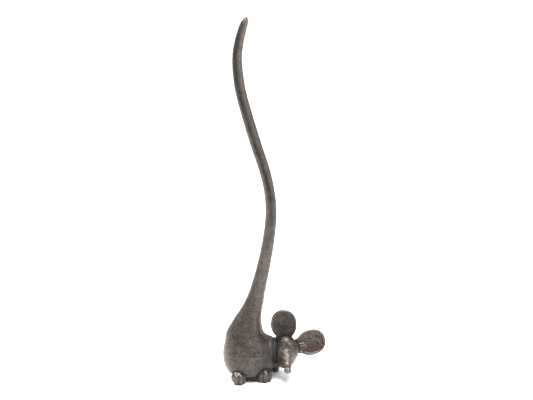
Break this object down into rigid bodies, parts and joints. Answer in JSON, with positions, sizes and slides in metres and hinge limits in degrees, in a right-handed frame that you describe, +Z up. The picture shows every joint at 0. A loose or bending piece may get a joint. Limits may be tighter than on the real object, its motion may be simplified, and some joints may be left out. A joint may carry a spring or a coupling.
{
  "type": "mouse figure ring holder",
  "caption": "Small cast-iron mouse on four paws with a tall S-curved upright tail that rings drop over, and large cupped ears.",
  "frame": {"origin": "ground level, under the middle of the figure's bounding box", "axes": "+Z up along the tail; +X the way the body faces; the head is turned towards -Y"},
  "size_m": [0.0492, 0.0278, 0.175],
  "materials": {
    "dark_iron": "sand-cast grain under a dark brown-grey semi-matte finish",
    "pin_steel": "plain turned steel"
  },
  "bodies": {
    "root": {"body": "dark_iron", "head": "dark_iron", "right_ear": "dark_iron", "left_ear": "dark_iron", "neck_pin": "pin_steel", "right_front_paw": "dark_iron", "left_front_paw": "dark_iron", "right_hind_paw": "dark_iron", "left_hind_paw": "dark_iron"}
  },
  "joints": []
}
